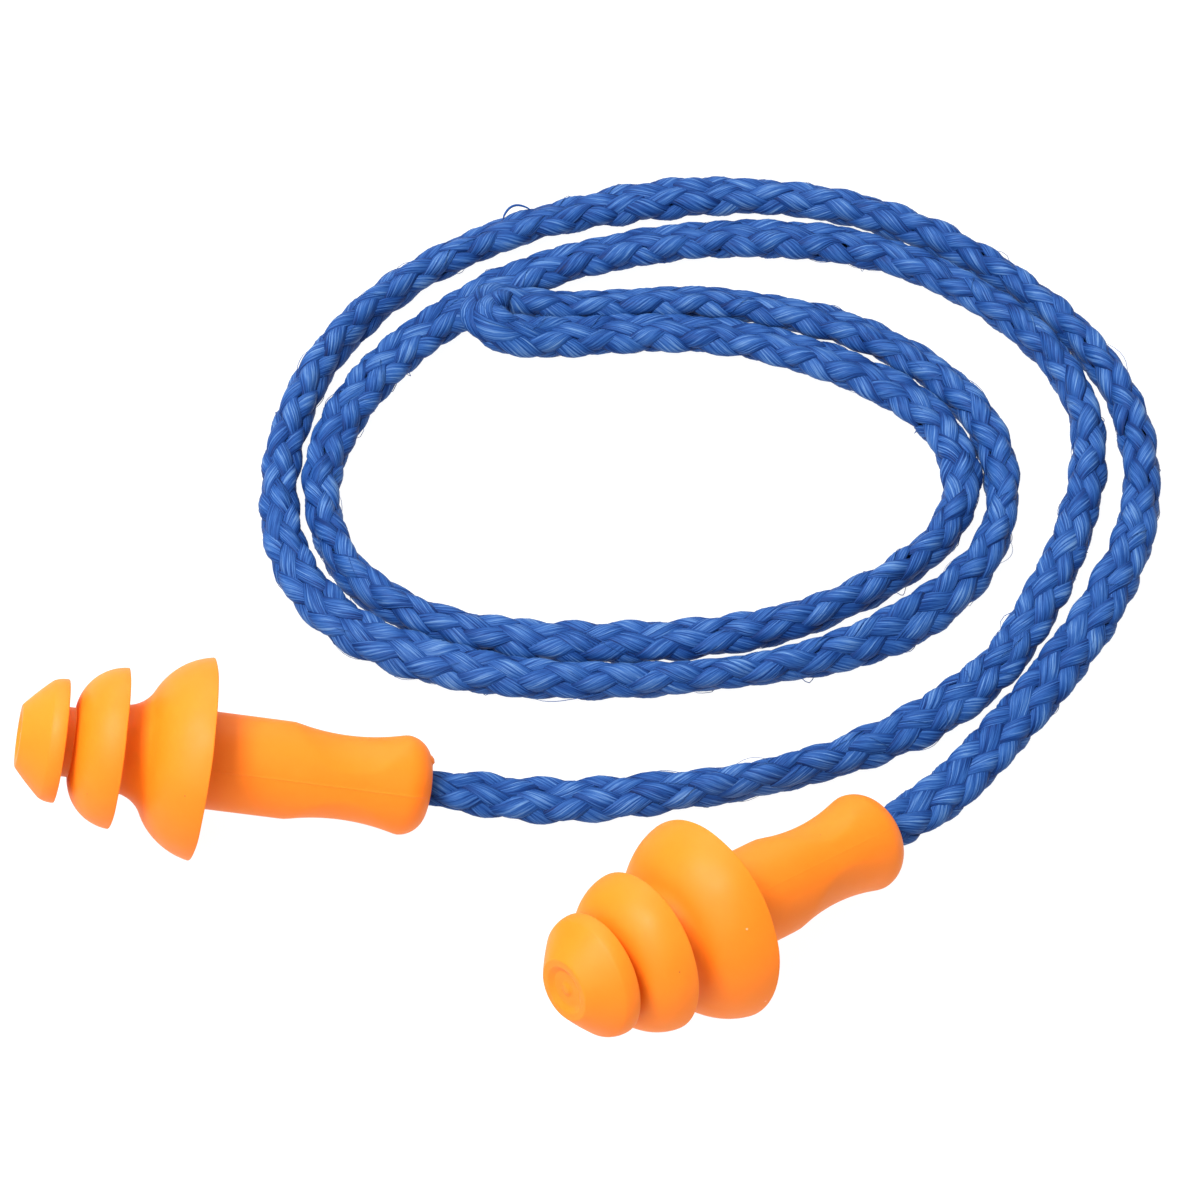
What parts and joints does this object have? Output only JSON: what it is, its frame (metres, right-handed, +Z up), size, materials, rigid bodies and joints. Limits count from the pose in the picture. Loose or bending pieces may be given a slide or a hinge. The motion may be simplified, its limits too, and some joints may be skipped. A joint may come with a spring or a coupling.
{
  "type": "corded ear plugs",
  "caption": "Pair of reusable moulded ear plugs with stepped soft flanges and a waisted finger stem, joined end to end by a soft braided cord laid in a loose loop.",
  "frame": {"origin": "on the surface that the plugs rest on, under the middle of the box round the two plugs, cord left out", "axes": "+Z up; +X to the right, along the pair of plugs; +Y away, towards the cord's loop"},
  "size_m": [0.0742, 0.0751, 0.0124],
  "materials": {
    "plug_elastomer": "soft matt, slightly translucent",
    "braided_cord": "silky filament braid",
    "bond_adhesive": "cured clear adhesive"
  },
  "bodies": {
    "cord": {"cord": "braided_cord"},
    "left_plug": {"left_plug": "plug_elastomer", "left_cord_bond": "bond_adhesive", "left_cord_end": "braided_cord"},
    "right_plug": {"right_plug": "plug_elastomer", "right_cord_bond": "bond_adhesive", "right_cord_end": "braided_cord"}
  },
  "joints": [
    {"name": "left_plug_lift", "type": "hinge", "parent": "cord", "child": "left_plug", "pos_m": [0.0011, 0.0073, 0.00185], "axis": [-0.0192, 0.9998, 0], "range_deg": [0, 80]},
    {"name": "right_plug_lift", "type": "hinge", "parent": "cord", "child": "right_plug", "pos_m": [0.02875, 0.00585, 0.00185], "axis": [-0.6211, 0.7837, 0], "range_deg": [0, 80]}
  ]
}
